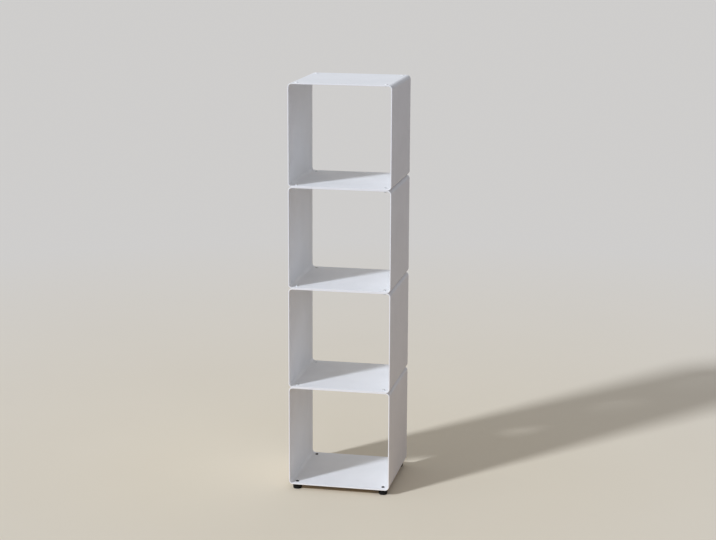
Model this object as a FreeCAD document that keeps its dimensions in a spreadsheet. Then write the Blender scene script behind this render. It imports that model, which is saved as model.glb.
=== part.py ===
# A free-standing bookcase: a slim column of four folded sheet-steel boxes, open at the front and back,
# bolted one on another through their corners and standing on four rubber feet.
# Millimetres, +Z up, front towards -Y. The origin is on the floor under the middle of the column.
import FreeCAD, Part
import os

import Sketcher

# Driving dimensions: name, value and what it measures.
SIZES = (
    ("module_width", 250, "box, outside, left to right"),
    ("module_depth", 250, "box, front edge to back edge"),
    ("module_height", 247, "box, outside, and so the step from shelf to shelf"),
    ("sheet_thickness", 2.5, "folded sheet"),
    ("bend_inner_radius", 7.5, "inside of each of the four bends"),
    ("fastener_margin", 7.5, "end of a bend to the middle of the nearest fastener"),
    ("hole_clearance", 0.5, "hole in the sheet, wider than the screw"),
    ("screw_diameter", 4, "all screws"),
    ("head_diameter", 7.6, "low round screw head"),
    ("head_height", 2.2, "screw head, seat to crown"),
    ("head_rim", 0.3, "straight band under the rounded crown"),
    ("socket_width", 2.5, "hexagon socket across flats"),
    ("socket_depth", 1.3, "hexagon socket below the crown"),
    ("tip_bevel", 0.5, "bevel round the end of a screw"),
    ("thread_end", 1, "screw showing past its nut"),
    ("thread_clearance", 0.2, "bore of a nut, wider than the screw"),
    ("nut_width", 7, "nut across flats"),
    ("nut_height", 3.2, "nut"),
    ("nut_bevel", 0.3, "drop of the bevel at the corners of a nut"),
    ("washer_clearance", 0.3, "bore of a washer, wider than the screw"),
    ("washer_diameter", 9, "washer under a joint nut"),
    ("washer_thickness", 0.8, "washer under a joint nut"),
    ("foot_washer_diameter", 12, "washer in the recess of a foot"),
    ("foot_washer_thickness", 1, "washer in the recess of a foot"),
    ("foot_washer_gap", 0.3, "washer to the wall of the recess"),
    ("foot_web", 4.8, "rubber between the sheet and the washer"),
    ("foot_wall", 4.2, "rubber round the recess at the floor"),
    ("foot_flare", 1, "how far the foot widens towards its top"),
    ("foot_collar", 2, "straight band at the top of a foot"),
    ("foot_bevel", 1, "bevel round the lower rim of a foot"),
    ("floor_gap", 4, "end of a foot screw to the floor"),
    ("plug_diameter", 8, "head of a hole plug"),
    ("plug_height", 1.4, "head of a hole plug, seat to crown"),
    ("plug_rim", 0.4, "straight band under the rounded crown of a plug"),
    ("plug_gap", 0.1, "stem of a plug to the wall of its hole"),
    ("plug_catch", 0.4, "how far the snap of a plug reaches past the hole"),
    ("plug_snap", 2.4, "length of the snap below the sheet"),
    ("plug_slot", 0.9, "slot that lets the snap spring together"),
    ("plug_neck", 0.6, "solid stem between the slot and the head"),
    ("cut_overrun", 1, "how far a cut runs past the face that it opens"),
)

MODULES = ("bottom_module", "lower_module", "upper_module", "top_module")
JOINTS = ("lower_joint", "middle_joint", "upper_joint")

# Corners of the column: name, side across and side in depth.
CORNERS = (
    ("front_left", -1, -1),
    ("front_right", 1, -1),
    ("back_left", -1, 1),
    ("back_right", 1, 1),
)

# Sizes that follow from the driving dimensions.
BEND_RADIUS = "(Sizes.bend_inner_radius + Sizes.sheet_thickness)"
HOLE_X = f"(Sizes.module_width / 2 - {BEND_RADIUS} - Sizes.fastener_margin)"
HOLE_Y = f"(Sizes.module_depth / 2 - {BEND_RADIUS} - Sizes.fastener_margin)"
HOLE_RADIUS = "((Sizes.screw_diameter + Sizes.hole_clearance) / 2)"
JOINT_GRIP = "(2 * Sizes.sheet_thickness + Sizes.washer_thickness)"
JOINT_SCREW_LENGTH = f"({JOINT_GRIP} + Sizes.nut_height + Sizes.thread_end)"
FOOT_STACK = "(Sizes.foot_web + Sizes.foot_washer_thickness + Sizes.nut_height + Sizes.thread_end)"
FOOT_SCREW_LENGTH = f"(Sizes.sheet_thickness + {FOOT_STACK})"
FOOT_HEIGHT = f"({FOOT_STACK} + Sizes.floor_gap)"
FOOT_CEILING = f"({FOOT_HEIGHT} - Sizes.foot_web)"

ORIGIN = FreeCAD.Vector(0, 0, 0)
UPWARD = FreeCAD.Vector(0, 0, 1)
SIDEWAYS = FreeCAD.Vector(1, 0, 0)
BACKWARD = FreeCAD.Vector(0, 1, 0)


def shelf_level(step):
    """Height of the underside of a box, counted from the lowest one."""
    return f"({FOOT_HEIGHT} + {step} * Sizes.module_height)"


doc = FreeCAD.newDocument("Bookcase")


def make_sheet():
    """Write the driving dimensions into a spreadsheet, one named cell each."""
    sheet = doc.addObject("Spreadsheet::Sheet", "Sizes")
    for row, (name, value, meaning) in enumerate(SIZES, start=1):
        sheet.set(f"A{row}", meaning)
        sheet.set(f"B{row}", str(value))
        sheet.setAlias(f"B{row}", name)
    doc.recompute()
    return sheet


sizes = make_sheet()


def number(expression):
    """Value of an expression over the named sizes."""
    return float(sizes.evalExpression(expression))


def new_body(label):
    body = doc.addObject("PartDesign::Body", label)
    body.Label = label
    return body


def new_sketch(body, name, plane):
    """A sketch on one of the body's own origin planes."""
    sketch = body.newObject("Sketcher::SketchObject", f"{body.Name}_{name}")
    support = next(item for item in body.Origin.OriginFeatures if item.Role == plane)
    sketch.AttachmentSupport = (support, [""])
    sketch.MapMode = "FlatFace"
    return sketch


def new_feature(body, kind, name, sketch):
    """A feature of a body that is made from a sketch."""
    feature = body.newObject(f"PartDesign::{kind}", f"{body.Name}_{name}")
    feature.Profile = sketch
    return feature


def drive(sketch, constraint, name, expression):
    """Add a dimension to a sketch and bind it to the sizes."""
    index = sketch.addConstraint(constraint)
    sketch.renameConstraint(index, name)
    sketch.setExpression(f"Constraints.{name}", expression)


def pin(sketch, edge, point, x, y):
    """Fix a point of an edge by its two distances from the sketch's origin."""
    for kind, axis, expression in (("DistanceX", -2, x), ("DistanceY", -1, y)):
        if expression == "0":
            sketch.addConstraint(Sketcher.Constraint("PointOnObject", edge, point, axis))
        else:
            distance = Sketcher.Constraint(kind, -1, 1, edge, point, number(expression))
            drive(sketch, distance, f"{kind}{edge}", expression)


def draw_outline(sketch, corners):
    """Draw straight sides through corners that are given as pairs of expressions."""
    places = [FreeCAD.Vector(number(x), number(y), 0) for x, y in corners]
    for start, end in zip(places, places[1:] + places[:1]):
        sketch.addGeometry(Part.LineSegment(start, end))
    for side, (x, y) in enumerate(corners):
        before = (side - 1) % len(corners)
        sketch.addConstraint(Sketcher.Constraint("Coincident", before, 2, side, 1))
        pin(sketch, side, 1, x, y)


def draw_circle(sketch, name, x, y, radius):
    """Draw a circle at a place and with a radius that are given as expressions."""
    centre = FreeCAD.Vector(number(x), number(y), 0)
    edge = sketch.addGeometry(Part.Circle(centre, UPWARD, number(radius)))
    pin(sketch, edge, 3, x, y)
    drive(sketch, Sketcher.Constraint("Radius", edge, number(radius)), name, radius)


def draw_hexagon(sketch, across_flats):
    """Draw a regular hexagon about the sketch's origin."""
    radius = f"{across_flats} / sqrt(3)"
    guide = sketch.addGeometry(Part.Circle(ORIGIN, UPWARD, number(radius)), True)
    sketch.addConstraint(Sketcher.Constraint("Coincident", guide, 3, -1, 1))
    drive(sketch, Sketcher.Constraint("Radius", guide, number(radius)), "corner_radius", radius)
    corner = SIDEWAYS * number(radius)
    places = [FreeCAD.Rotation(UPWARD, 60 * turn).multVec(corner) for turn in range(6)]
    sides = [sketch.addGeometry(Part.LineSegment(start, end))
             for start, end in zip(places, places[1:] + places[:1])]
    for before, side in zip(sides[-1:] + sides[:-1], sides):
        sketch.addConstraint(Sketcher.Constraint("Coincident", before, 2, side, 1))
        sketch.addConstraint(Sketcher.Constraint("PointOnObject", side, 1, guide))
    for side in sides[1:]:
        sketch.addConstraint(Sketcher.Constraint("Equal", sides[0], side))
    sketch.addConstraint(Sketcher.Constraint("PointOnObject", sides[0], 1, -1))


def turn_outline(body, corners):
    """Turn an outline, given as radius and height, about the upright axis of its body."""
    sketch = new_sketch(body, "outline", "XZ_Plane")
    draw_outline(sketch, corners)
    turned = new_feature(body, "Revolution", "turned", sketch)
    turned.ReferenceAxis = (sketch, ["V_Axis"])
    turned.Angle = 360
    doc.recompute()
    return turned


def cut(body, kind, name, sketch, **settings):
    """Cut a body with a sketch, and stop if the cut misses it."""
    volume_before = body.Shape.Volume
    feature = new_feature(body, kind, name, sketch)
    for setting, value in settings.items():
        setattr(feature, setting, value)
    doc.recompute()
    if body.Shape.Volume >= volume_before:
        raise RuntimeError(f"{feature.Label} removes nothing")
    return feature


def named_edges(shape, test):
    """Names of the edges of a shape that pass a test."""
    return [f"Edge{index}" for index, edge in enumerate(shape.Edges, start=1) if test(edge)]


def round_edges(body, name, base, edges, radius):
    rounding = body.newObject("PartDesign::Fillet", f"{body.Name}_{name}")
    rounding.Base = (base, edges)
    rounding.setExpression("Radius", radius)
    doc.recompute()
    return rounding


def place(item, **expressions):
    """Bind the position of a piece to the sizes."""
    for axis, expression in expressions.items():
        item.setExpression(f"Placement.Base.{axis}", expression)


def make_module(label, step):
    """One box: a sheet folded round four bends, with fastener holes through its top and bottom."""
    body = new_body(label)
    sketch = new_sketch(body, "front", "XZ_Plane")
    side = "Sizes.module_width / 2"
    draw_outline(sketch, (
        (f"-{side}", "0"),
        (side, "0"),
        (side, "Sizes.module_height"),
        (f"-{side}", "Sizes.module_height"),
    ))
    block = new_feature(body, "Pad", "block", sketch)
    block.Midplane = True
    block.setExpression("Length", "Sizes.module_depth")
    doc.recompute()
    bends = round_edges(body, "bends", block, named_edges(block.Shape, runs_backward), BEND_RADIUS)

    folded = body.newObject("PartDesign::Thickness", f"{label}_folded")
    folded.Base = (bends, [f"Face{index}" for index, face in enumerate(bends.Shape.Faces, start=1)
                           if faces_backward(face)])
    folded.Reversed = True
    folded.setExpression("Value", "Sizes.sheet_thickness")
    doc.recompute()

    pattern = new_sketch(body, "hole_pattern", "XY_Plane")
    for corner, across, deep in CORNERS:
        draw_circle(pattern, corner, f"{across} * {HOLE_X}", f"{deep} * {HOLE_Y}", HOLE_RADIUS)
    cut(body, "Pocket", "holes", pattern, Type="ThroughAll", Midplane=True)
    place(body, z=shelf_level(step))
    return body


def runs_backward(edge):
    return abs(edge.tangentAt(edge.FirstParameter).dot(BACKWARD)) > 0.5


def faces_backward(face):
    return abs(face.normalAt(0, 0).dot(BACKWARD)) > 0.5


def make_screw(label, length):
    """A screw with a low round head and a hexagon socket, seated at height zero."""
    body = new_body(label)
    shank = "Sizes.screw_diameter / 2"
    head = "Sizes.head_diameter / 2"
    turned = turn_outline(body, (
        ("0", "Sizes.head_height"),
        (head, "Sizes.head_height"),
        (head, "0"),
        (shank, "0"),
        (shank, f"Sizes.tip_bevel - {length}"),
        (f"{shank} - Sizes.tip_bevel", f"-{length}"),
        ("0", f"-{length}"),
    ))
    crown = named_edges(turned.Shape, lambda edge: edge.BoundBox.ZMin > number("Sizes.head_rim"))
    round_edges(body, "crown", turned, crown, "Sizes.head_height - Sizes.head_rim")

    sketch = new_sketch(body, "socket_shape", "XY_Plane")
    sketch.setExpression("AttachmentOffset.Base.z", "Sizes.head_height - Sizes.socket_depth")
    draw_hexagon(sketch, "Sizes.socket_width")
    cut(body, "Pocket", "socket", sketch, Type="ThroughAll", Reversed=True)
    return body


def make_nut(label):
    """A hexagon nut that hangs below height zero, bevelled at the corners of both faces."""
    body = new_body(label)
    sketch = new_sketch(body, "shape", "XY_Plane")
    draw_hexagon(sketch, "Sizes.nut_width")
    draw_circle(sketch, "bore", "0", "0", "(Sizes.screw_diameter + Sizes.thread_clearance) / 2")
    block = new_feature(body, "Pad", "block", sketch)
    block.Reversed = True
    block.setExpression("Length", "Sizes.nut_height")
    doc.recompute()

    # The wedge of each bevel starts where the flats lie and runs as far past the corners as it drops.
    flat = "Sizes.nut_width / 2"
    outside = f"2 * Sizes.nut_width / sqrt(3) - {flat}"
    drop = "2 * Sizes.nut_bevel"
    faces = (
        ("upper_bevel", "0", f"-{drop}"),
        ("lower_bevel", "-Sizes.nut_height", f"{drop} - Sizes.nut_height"),
    )
    for name, face, low_point in faces:
        wedge = new_sketch(body, f"{name}_shape", "XZ_Plane")
        draw_outline(wedge, ((flat, face), (outside, face), (outside, low_point)))
        cut(body, "Groove", name, wedge, ReferenceAxis=(wedge, ["V_Axis"]), Angle=360)
    return body


def make_washer(label, diameter, thickness):
    """A flat washer that hangs below height zero."""
    body = new_body(label)
    bore = "(Sizes.screw_diameter + Sizes.washer_clearance) / 2"
    turn_outline(body, (
        (bore, "0"),
        (f"{diameter} / 2", "0"),
        (f"{diameter} / 2", f"-{thickness}"),
        (bore, f"-{thickness}"),
    ))
    return body


def make_foot(label, across, deep):
    """A round rubber foot with a recess for its washer and nut, standing on the floor."""
    body = new_body(label)
    recess = "(Sizes.foot_washer_diameter / 2 + Sizes.foot_washer_gap)"
    base = f"({recess} + Sizes.foot_wall)"
    top = f"({base} + Sizes.foot_flare)"
    turn_outline(body, (
        (HOLE_RADIUS, FOOT_HEIGHT),
        (top, FOOT_HEIGHT),
        (top, f"{FOOT_HEIGHT} - Sizes.foot_collar"),
        (base, "Sizes.foot_bevel"),
        (f"{base} - Sizes.foot_bevel", "0"),
        (recess, "0"),
        (recess, FOOT_CEILING),
        (HOLE_RADIUS, FOOT_CEILING),
    ))
    place(body, x=f"{across} * {HOLE_X}", y=f"{deep} * {HOLE_Y}")
    return body


def make_plug(label):
    """A snap-in plug for an unused hole, seated at height zero."""
    body = new_body(label)
    head = "Sizes.plug_diameter / 2"
    stem = f"({HOLE_RADIUS} - Sizes.plug_gap)"
    snap = f"({HOLE_RADIUS} + Sizes.plug_catch)"
    ledge = "(Sizes.sheet_thickness + Sizes.plug_gap)"
    tip = f"({ledge} + Sizes.plug_snap)"
    turned = turn_outline(body, (
        ("0", "Sizes.plug_height"),
        (head, "Sizes.plug_height"),
        (head, "0"),
        (stem, "0"),
        (stem, f"-{ledge}"),
        (snap, f"-{ledge}"),
        (f"{stem} - Sizes.plug_catch", f"-{tip}"),
        ("0", f"-{tip}"),
    ))
    crown = named_edges(turned.Shape, lambda edge: edge.BoundBox.ZMin > number("Sizes.plug_rim"))
    round_edges(body, "crown", turned, crown, "Sizes.plug_height - Sizes.plug_rim")

    sketch = new_sketch(body, "slot_shape", "XZ_Plane")
    side = "Sizes.plug_slot / 2"
    end = f"-({tip} + Sizes.cut_overrun)"
    draw_outline(sketch, (
        (f"-{side}", end),
        (side, end),
        (side, "-Sizes.plug_neck"),
        (f"-{side}", "-Sizes.plug_neck"),
    ))
    cut(body, "Pocket", "slot", sketch, Type="ThroughAll", Midplane=True)
    return body


def mirror(source, side, normal):
    image = doc.addObject("Part::Mirroring", f"{source.Name}_{side}")
    image.Source = source
    image.Normal = normal
    return image


def at_corners(piece):
    """A piece and its mirror images, one at each fastener corner of the column."""
    place(piece, x=HOLE_X, y=HOLE_Y)
    left = mirror(piece, "left", SIDEWAYS)
    front = mirror(piece, "front", BACKWARD)
    front_left = mirror(left, "front", BACKWARD)
    return [piece, left, front, front_left]


def group(label, pieces, level):
    """Four like pieces as one named node, set at a height."""
    node = doc.addObject("Part::Compound", label)
    node.Label = label
    node.Links = pieces
    place(node, z=level)
    return node


def make_fasteners():
    """Screws, washers and nuts of the joints and of the feet, and the plugs of the top sheet."""
    joint_screws = at_corners(make_screw("joint_screw", JOINT_SCREW_LENGTH))
    foot_screws = at_corners(make_screw("foot_screw", FOOT_SCREW_LENGTH))
    nuts = at_corners(make_nut("nut"))
    washers = at_corners(make_washer("washer", "Sizes.washer_diameter", "Sizes.washer_thickness"))
    foot_washers = at_corners(
        make_washer("foot_washer", "Sizes.foot_washer_diameter", "Sizes.foot_washer_thickness"))
    plugs = at_corners(make_plug("plug"))

    nodes = []
    for step, joint in enumerate(JOINTS, start=1):
        meeting = shelf_level(step)
        underside = f"{meeting} - Sizes.sheet_thickness"
        nodes.append(group(f"{joint}_screws", joint_screws, f"{meeting} + Sizes.sheet_thickness"))
        nodes.append(group(f"{joint}_washers", washers, underside))
        nodes.append(group(f"{joint}_nuts", nuts, f"{underside} - Sizes.washer_thickness"))
    nodes.append(group("foot_screws", foot_screws, f"{FOOT_HEIGHT} + Sizes.sheet_thickness"))
    nodes.append(group("foot_washers", foot_washers, FOOT_CEILING))
    nodes.append(group("foot_nuts", nuts, f"{FOOT_CEILING} - Sizes.foot_washer_thickness"))
    nodes.append(group("top_hole_plugs", plugs, shelf_level(len(MODULES))))
    return nodes


def check(nodes):
    """Stop unless every object has built and every node is a sound solid."""
    for item in doc.Objects:
        if "Invalid" in item.State or "Error" in item.State:
            raise RuntimeError(f"{item.Label} did not build: {item.State}")
    for node in nodes:
        if node.Shape.isNull() or not node.Shape.isValid() or not node.Shape.Solids:
            raise RuntimeError(f"{node.Label} is not a sound solid")


def main():
    nodes = [make_module(label, step) for step, label in enumerate(MODULES)]
    nodes += [make_foot(f"foot_{name}", across, deep) for name, across, deep in CORNERS]
    nodes += make_fasteners()
    doc.recompute()
    check(nodes)
    os.makedirs("parts", exist_ok=True)
    for node in nodes:
        node.Shape.exportStep(f"parts/{node.Label}.step")


main()
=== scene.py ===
import math

import bpy
from mathutils import Matrix, Vector


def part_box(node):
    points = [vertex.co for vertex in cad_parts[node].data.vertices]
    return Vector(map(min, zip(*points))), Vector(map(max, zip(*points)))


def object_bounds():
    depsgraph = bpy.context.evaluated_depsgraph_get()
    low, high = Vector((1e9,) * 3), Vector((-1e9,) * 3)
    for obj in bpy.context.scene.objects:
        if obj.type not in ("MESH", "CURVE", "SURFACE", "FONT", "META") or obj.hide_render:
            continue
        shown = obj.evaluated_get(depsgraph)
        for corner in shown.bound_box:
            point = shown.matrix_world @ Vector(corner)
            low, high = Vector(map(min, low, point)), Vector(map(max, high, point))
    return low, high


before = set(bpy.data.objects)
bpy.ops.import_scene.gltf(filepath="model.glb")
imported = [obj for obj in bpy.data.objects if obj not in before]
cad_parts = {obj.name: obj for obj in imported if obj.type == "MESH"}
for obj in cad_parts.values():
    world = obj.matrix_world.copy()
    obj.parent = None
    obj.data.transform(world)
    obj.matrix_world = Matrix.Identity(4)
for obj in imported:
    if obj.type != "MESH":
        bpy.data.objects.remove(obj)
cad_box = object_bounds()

MM = 0.001

# Pieces by what they are made of.
MODULES = ("bottom_module", "lower_module", "upper_module", "top_module")
JOINTS = ("lower_joint", "middle_joint", "upper_joint")
FEET = ("foot_front_left", "foot_front_right", "foot_back_left", "foot_back_right")
NUTS = ("foot_nuts",) + tuple(f"{joint}_nuts" for joint in JOINTS)
TURNED_PIECES = ("foot_washers",) + tuple(
    f"{joint}_{piece}" for joint in JOINTS for piece in ("screws", "washers"))

# Rounding of edges, left by the coat, the mould or the tool: its width and its segments.
SHEET_ROUND = (0.45 * MM, 3)
FOOT_ROUND = (0.9 * MM, 4)
HARDWARE_ROUND = (0.12 * MM, 2)
SHARP_ANGLE = math.radians(28)
FLAT_ANGLE = math.radians(0.5)
WELD_DISTANCE = 0.002 * MM
FLAT_FACE_WEIGHT = 100

# Rings that turning leaves on metal.
RING_STEP = 0.25 * MM
RING_DEPTH = 0.006 * MM

# The photograph's camera: focal length in pixels of its 716 wide frame, place and turns.
IMAGE_WIDTH = 716
FOCAL_PIXELS = 1736.7
CAMERA_PLACE = Vector((0.8503, -4.0780, 1.4421))
CAMERA_YAW = -0.2007
CAMERA_PITCH = -0.2149
CAMERA_ROLL = -0.0046
SENSOR_WIDTH = 36

# Light: a soft, far key from the front left, in a pale room that is dim on the right and bright behind.
# A span is how far a direction leans to that side where the room starts and ends its change.
KEY_AZIMUTH = math.radians(40)
KEY_ELEVATION = math.radians(33)
KEY_WIDTH = math.radians(6)
KEY_STRENGTH = 2.66
KEY_COLOUR = (0.835, 0.893, 1.0)
ROOM_COLOUR = (0.49, 0.49, 0.50)
DIM_SIDE_COLOUR = (0.275, 0.288, 0.35)
DIM_SIDE_SPAN = (0.1, 0.7)
BACK_COLOUR = (0.56, 0.56, 0.56)
BACK_SPAN = (0.2, 0.9)
BACKDROP_COLOUR = (0.62, 0.61, 0.59)

# The floor's width, and the distances from the column where its near colour ends and its far one starts.
FLOOR_SIZE = 300
FLOOR_SPAN = (0.5, 3.0)


def node_tree(name):
    """A new node material: the material, its tree and its shader."""
    material = bpy.data.materials.new(name)
    material.use_nodes = True
    tree = material.node_tree
    return material, tree, tree.nodes["Principled BSDF"]


def place_of(tree):
    """Where on the object a point lies, in metres."""
    return tree.nodes.new("ShaderNodeTexCoord").outputs["Object"]


def axes_of(tree, vector):
    """The coordinates of a place or direction, by their letters."""
    node = tree.nodes.new("ShaderNodeSeparateXYZ")
    tree.links.new(vector, node.inputs[0])
    return node.outputs


def noise(tree, place, size, detail=2.0, roughness=0.5):
    """Noise whose patches are about as wide as a size."""
    node = tree.nodes.new("ShaderNodeTexNoise")
    node.inputs["Scale"].default_value = 1 / size
    node.inputs["Detail"].default_value = detail
    node.inputs["Roughness"].default_value = roughness
    tree.links.new(place, node.inputs["Vector"])
    return node.outputs["Fac"]


def spread(tree, value, low, high, span=(0.3, 0.7)):
    """Map a span of a value, by default the middle of a noise, to a range."""
    node = tree.nodes.new("ShaderNodeMapRange")
    node.inputs["From Min"].default_value = span[0]
    node.inputs["From Max"].default_value = span[1]
    node.inputs["To Min"].default_value = low
    node.inputs["To Max"].default_value = high
    tree.links.new(value, node.inputs["Value"])
    return node.outputs["Result"]


def fill(tree, socket, value):
    """Set an input to a value, or link it to another node's output."""
    if isinstance(value, bpy.types.NodeSocket):
        tree.links.new(value, socket)
    else:
        socket.default_value = value


def blend(tree, share, first, second):
    """Mix two colours, each a value or another node's output, by a share."""
    node = tree.nodes.new("ShaderNodeMix")
    node.data_type = "RGBA"
    tree.links.new(share, node.inputs["Factor"])
    for socket, colour in zip((node.inputs[6], node.inputs[7]), (first, second)):
        fill(tree, socket, (*colour, 1) if isinstance(colour, tuple) else colour)
    return node.outputs[2]


def math_node(tree, operation, *values):
    """One sum: each value is a number or another node's output."""
    node = tree.nodes.new("ShaderNodeMath")
    node.operation = operation
    for socket, value in zip(node.inputs, values):
        fill(tree, socket, value)
    return node.outputs[0]


def bump(tree, height, depth, under=None):
    """Relief of a real depth, on top of another relief if one is given."""
    node = tree.nodes.new("ShaderNodeBump")
    node.inputs["Strength"].default_value = 1
    node.inputs["Distance"].default_value = depth
    tree.links.new(height, node.inputs["Height"])
    if under is not None:
        tree.links.new(under, node.inputs["Normal"])
    return node.outputs["Normal"]


def grain(tree, place, size, depth, detail, under=None):
    """Relief of noise, with a size across and a depth."""
    return bump(tree, noise(tree, place, size, detail), depth, under)


def from_fastener(tree, place):
    """How far a point is from the axis of the nearest fastener."""
    low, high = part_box("foot_back_right")
    axis_x, axis_y, _ = (low + high) / 2
    axes = axes_of(tree, place)
    across = math_node(tree, "SUBTRACT", math_node(tree, "ABSOLUTE", axes["X"]), axis_x)
    deep = math_node(tree, "SUBTRACT", math_node(tree, "ABSOLUTE", axes["Y"]), axis_y)
    squares = math_node(tree, "ADD", math_node(tree, "MULTIPLY", across, across),
                        math_node(tree, "MULTIPLY", deep, deep))
    return math_node(tree, "SQRT", squares)


def turned_rings(tree, place):
    """Fine rings round the axis of the nearest fastener, as a relief."""
    turns = math_node(tree, "MULTIPLY", from_fastener(tree, place), 2 * math.pi / RING_STEP)
    return bump(tree, math_node(tree, "SINE", turns), RING_DEPTH)


def powder_coat():
    """White powder coat on steel: faint clouding, orange peel, fine grain, a thicker build at cut edges."""
    grey_white = (0.800, 0.803, 0.808)
    clear_white = (0.842, 0.845, 0.850)
    edge_white = (0.86, 0.862, 0.868)
    speck_grey = (0.70, 0.70, 0.70)
    edge_band = 9 * MM
    edge_cover = 0.6
    edge_gloss = 0.05

    material, tree, shader = node_tree("white_powder_coat")
    shader.inputs["Specular IOR Level"].default_value = 0.22
    place = place_of(tree)
    clouds = noise(tree, place, size=90 * MM, detail=3, roughness=0.6)
    colour = blend(tree, spread(tree, clouds, 0, 1), grey_white, clear_white)
    specks = noise(tree, place, size=0.7 * MM, detail=1)
    colour = blend(tree, spread(tree, specks, 0, 0.35, span=(0.66, 0.80)), colour, speck_grey)

    cut_edge = cad_box[1].y
    from_middle = math_node(tree, "ABSOLUTE", axes_of(tree, place)["Y"])
    build = spread(tree, from_middle, 0, 1, span=(cut_edge - edge_band, cut_edge))
    colour = blend(tree, math_node(tree, "MULTIPLY", build, edge_cover), colour, edge_white)
    tree.links.new(colour, shader.inputs["Base Color"])

    patches = noise(tree, place, size=28 * MM, detail=3, roughness=0.55)
    dullness = spread(tree, patches, low=0.58, high=0.70)
    dullness = math_node(tree, "SUBTRACT", dullness, math_node(tree, "MULTIPLY", build, edge_gloss))
    tree.links.new(dullness, shader.inputs["Roughness"])
    waves = grain(tree, place, size=6 * MM, depth=0.06 * MM, detail=1)
    peel = grain(tree, place, size=1.6 * MM, depth=0.085 * MM, detail=1, under=waves)
    powder = grain(tree, place, size=0.5 * MM, depth=0.03 * MM, detail=1, under=peel)
    tree.links.new(powder, shader.inputs["Normal"])
    return material


def zinc_plate():
    """Bright zinc on steel: blue and straw tints, dull spots, turned rings."""
    blue_zinc = (0.60, 0.62, 0.65)
    straw_zinc = (0.72, 0.71, 0.68)
    dull_zinc = (0.45, 0.45, 0.44)

    material, tree, shader = node_tree("zinc_plate")
    shader.inputs["Metallic"].default_value = 1
    place = place_of(tree)
    tint = noise(tree, place, size=2.5 * MM, detail=3)
    colour = blend(tree, spread(tree, tint, 0, 1), blue_zinc, straw_zinc)
    spots = noise(tree, place, size=0.5 * MM, detail=2)
    colour = blend(tree, spread(tree, spots, 0, 0.5, span=(0.6, 0.75)), colour, dull_zinc)
    tree.links.new(colour, shader.inputs["Base Color"])
    dullness = spread(tree, noise(tree, place, size=1.2 * MM), low=0.36, high=0.52)
    tree.links.new(dullness, shader.inputs["Roughness"])
    tree.links.new(turned_rings(tree, place), shader.inputs["Normal"])
    return material


def black_oxide():
    """Blackened steel: a dark skin, thinner and browner in patches, over turned rings."""
    thick_black = (0.006, 0.006, 0.0065)
    thin_black = (0.017, 0.016, 0.015)

    material, tree, shader = node_tree("black_oxide")
    shader.inputs["Specular IOR Level"].default_value = 0.2
    place = place_of(tree)
    patches = noise(tree, place, size=1.8 * MM, detail=3)
    colour = blend(tree, spread(tree, patches, 0, 1), thick_black, thin_black)
    tree.links.new(colour, shader.inputs["Base Color"])
    dullness = spread(tree, noise(tree, place, size=0.9 * MM), low=0.48, high=0.66)
    tree.links.new(dullness, shader.inputs["Roughness"])
    tree.links.new(turned_rings(tree, place), shader.inputs["Normal"])
    return material


def moulded_rubber():
    """Black rubber with a fine moulded grain, greyed by dust towards the floor."""
    deep_black = (0.006, 0.0058, 0.006)
    soft_black = (0.012, 0.0115, 0.0115)
    dust_grey = (0.035, 0.033, 0.03)
    dust_height = 4 * MM

    material, tree, shader = node_tree("moulded_rubber")
    shader.inputs["Specular IOR Level"].default_value = 0.16
    place = place_of(tree)
    patches = noise(tree, place, size=5 * MM, detail=3)
    colour = blend(tree, spread(tree, patches, 0, 1), deep_black, soft_black)
    near_floor = spread(tree, axes_of(tree, place)["Z"], 1, 0, span=(0, dust_height))
    specks = spread(tree, noise(tree, place, size=1.5 * MM, detail=3), 0, 0.5)
    colour = blend(tree, math_node(tree, "MULTIPLY", near_floor, specks), colour, dust_grey)
    tree.links.new(colour, shader.inputs["Base Color"])
    tree.links.new(spread(tree, patches, low=0.62, high=0.80), shader.inputs["Roughness"])
    mould = grain(tree, place, size=0.4 * MM, depth=0.05 * MM, detail=2)
    tree.links.new(mould, shader.inputs["Normal"])
    return material


def moulded_plastic():
    """White moulded plastic, a little warmer and smoother than the coat beside it."""
    grey_white = (0.79, 0.79, 0.78)
    clear_white = (0.84, 0.84, 0.83)

    material, tree, shader = node_tree("moulded_plastic")
    place = place_of(tree)
    patches = noise(tree, place, size=3 * MM, detail=2)
    colour = blend(tree, spread(tree, patches, 0, 1), grey_white, clear_white)
    tree.links.new(colour, shader.inputs["Base Color"])
    tree.links.new(spread(tree, patches, low=0.34, high=0.44), shader.inputs["Roughness"])
    mould = grain(tree, place, size=0.35 * MM, depth=0.012 * MM, detail=2)
    tree.links.new(mould, shader.inputs["Normal"])
    return material


def seen_directly(tree):
    """One where the camera, a reflection or glass shows a surface, nought where it only lights others."""
    path = tree.nodes.new("ShaderNodeLightPath").outputs
    mirrored = math_node(tree, "ADD", path["Is Glossy Ray"], path["Is Transmission Ray"])
    return math_node(tree, "ADD", path["Is Camera Ray"], mirrored)


def floor_paint():
    """Plain pale floor with a faint unevenness, which throws less light on the object than it shows."""
    near_dark = (0.735, 0.66, 0.525)
    near_light = (0.75, 0.675, 0.54)
    far_colour = (0.74, 0.705, 0.645)
    near_glow = (0.57, 0.41, 0.235)
    far_glow = (0.33, 0.33, 0.35)
    patch_size = 0.6

    material, tree, shader = node_tree("pale_floor")
    shader.inputs["Roughness"].default_value = 1
    shader.inputs["Specular IOR Level"].default_value = 0
    place = place_of(tree)
    distance = tree.nodes.new("ShaderNodeVectorMath")
    distance.operation = "LENGTH"
    tree.links.new(place, distance.inputs[0])
    far = spread(tree, distance.outputs["Value"], 0, 1, FLOOR_SPAN)

    patches = noise(tree, place, patch_size, detail=3)
    colour = blend(tree, spread(tree, patches, 0, 1), near_dark, near_light)
    colour = blend(tree, far, colour, far_colour)
    glow = blend(tree, far, near_glow, far_glow)
    colour = blend(tree, seen_directly(tree), glow, colour)
    tree.links.new(colour, shader.inputs["Base Color"])
    return material


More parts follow.
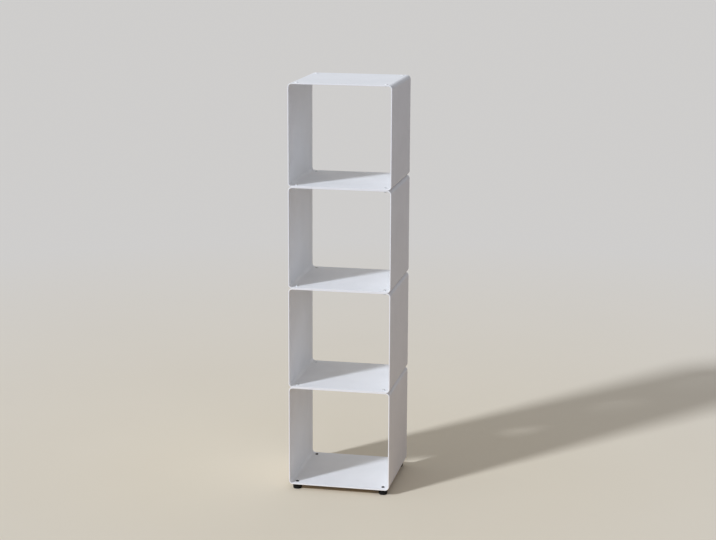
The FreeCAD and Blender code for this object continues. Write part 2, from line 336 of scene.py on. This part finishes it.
def finish_node(name, material, rounding=None):
    """Give a CAD piece its finish, and round its sharp edges if a rounding is given."""
    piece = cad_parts[name]
    piece.material_slots[0].material = material
    if rounding is None:
        return
    weld = piece.modifiers.new("weld", "WELD")
    weld.merge_threshold = WELD_DISTANCE
    flats = piece.modifiers.new("flats", "DECIMATE")
    flats.decimate_type = "DISSOLVE"
    flats.angle_limit = FLAT_ANGLE
    rounded = piece.modifiers.new("rounded", "BEVEL")
    rounded.width, rounded.segments = rounding
    rounded.limit_method = "ANGLE"
    rounded.angle_limit = SHARP_ANGLE
    rounded.use_clamp_overlap = False
    shading = piece.modifiers.new("shading", "WEIGHTED_NORMAL")
    shading.weight = FLAT_FACE_WEIGHT


def dress():
    """Give every piece its material and its rounding. The nuts have their bevels already."""
    coat = powder_coat()
    for name in MODULES:
        finish_node(name, coat, SHEET_ROUND)
    rubber = moulded_rubber()
    for name in FEET:
        finish_node(name, rubber, FOOT_ROUND)
    zinc = zinc_plate()
    for name in NUTS:
        finish_node(name, zinc)
    for name in TURNED_PIECES:
        finish_node(name, zinc, HARDWARE_ROUND)
    finish_node("foot_screws", black_oxide(), HARDWARE_ROUND)
    finish_node("top_hole_plugs", moulded_plastic(), HARDWARE_ROUND)


def make_floor():
    """A wide flat floor under the object."""
    mesh = bpy.data.meshes.new("floor")
    half = FLOOR_SIZE / 2
    corners = [(-half, -half, 0), (half, -half, 0), (half, half, 0), (-half, half, 0)]
    mesh.from_pydata(corners, [], [(0, 1, 2, 3)])
    mesh.materials.append(floor_paint())
    floor = bpy.data.objects.new("floor", mesh)
    bpy.context.scene.collection.objects.link(floor)


def make_camera():
    """The photograph's point of view, with no shift and no depth of field."""
    data = bpy.data.cameras.new("camera")
    data.sensor_width = SENSOR_WIDTH
    data.lens = FOCAL_PIXELS / IMAGE_WIDTH * SENSOR_WIDTH
    camera = bpy.data.objects.new("camera", data)
    level_view = Matrix.Rotation(math.pi / 2, 4, "X")
    turn = Matrix.Rotation(-CAMERA_YAW, 4, "Z")
    tilt = Matrix.Rotation(CAMERA_PITCH, 4, "X")
    roll = Matrix.Rotation(-CAMERA_ROLL, 4, "Z")
    camera.matrix_world = Matrix.Translation(CAMERA_PLACE) @ turn @ level_view @ tilt @ roll
    bpy.context.scene.collection.objects.link(camera)
    bpy.context.scene.camera = camera


def make_key():
    """One soft far lamp."""
    data = bpy.data.lights.new("key", "SUN")
    data.angle = KEY_WIDTH
    data.energy = KEY_STRENGTH
    data.color = KEY_COLOUR
    key = bpy.data.objects.new("key", data)
    key.rotation_euler = (math.pi / 2 - KEY_ELEVATION, 0, -KEY_AZIMUTH)
    bpy.context.scene.collection.objects.link(key)


def make_room():
    """Light from all round, dim on the right and bright behind, seen as a paler backdrop."""
    world = bpy.data.worlds.new("room")
    world.use_nodes = True
    tree = world.node_tree
    direction = axes_of(tree, tree.nodes.new("ShaderNodeTexCoord").outputs["Generated"])
    rightward = spread(tree, direction["X"], 0, 1, DIM_SIDE_SPAN)
    backward = spread(tree, direction["Y"], 0, 1, BACK_SPAN)
    room = blend(tree, rightward, ROOM_COLOUR, DIM_SIDE_COLOUR)
    room = blend(tree, backward, room, BACK_COLOUR)
    colour = blend(tree, seen_directly(tree), room, BACKDROP_COLOUR)
    tree.links.new(colour, tree.nodes["Background"].inputs["Color"])
    bpy.context.scene.world = world


dress()
make_floor()
make_camera()
make_key()
make_room()
bpy.context.scene.view_settings.view_transform = "Standard"
